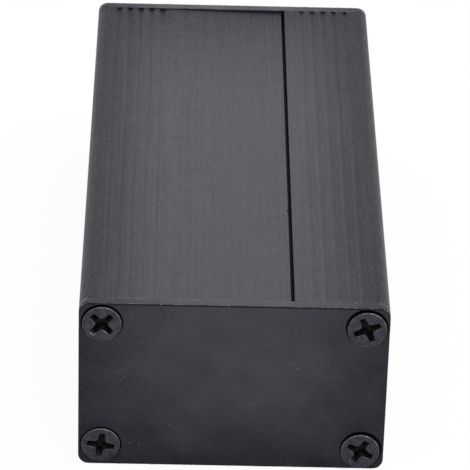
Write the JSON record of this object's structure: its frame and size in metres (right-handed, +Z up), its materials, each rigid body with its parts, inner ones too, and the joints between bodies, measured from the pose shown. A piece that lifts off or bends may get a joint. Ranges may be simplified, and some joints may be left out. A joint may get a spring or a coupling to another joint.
{
  "type": "extruded aluminium enclosure",
  "caption": "Small black split-body extruded enclosure for a circuit board: interlocking half-shells, flat end panels and countersunk cross-recess screws.",
  "frame": {"origin": "centre of the bottom face, midway between the end panels", "axes": "+X across to the right seen from the front panel, +Y along the length to the rear panel, +Z up"},
  "size_m": [0.043, 0.0936, 0.0265],
  "materials": {
    "anodised_shell": "black anodised, fine blasted satin",
    "anodised_panel": "black anodised, smooth satin",
    "blackened_steel": "blackened steel, semi-gloss"
  },
  "bodies": {
    "root": {"left_shell": "anodised_shell", "right_shell": "anodised_shell", "front_panel": "anodised_panel", "rear_panel": "anodised_panel", "front_screw_top_left": "blackened_steel", "front_screw_top_right": "blackened_steel", "front_screw_bottom_left": "blackened_steel", "front_screw_bottom_right": "blackened_steel", "rear_screw_top_left": "blackened_steel", "rear_screw_top_right": "blackened_steel", "rear_screw_bottom_left": "blackened_steel", "rear_screw_bottom_right": "blackened_steel"}
  },
  "joints": []
}
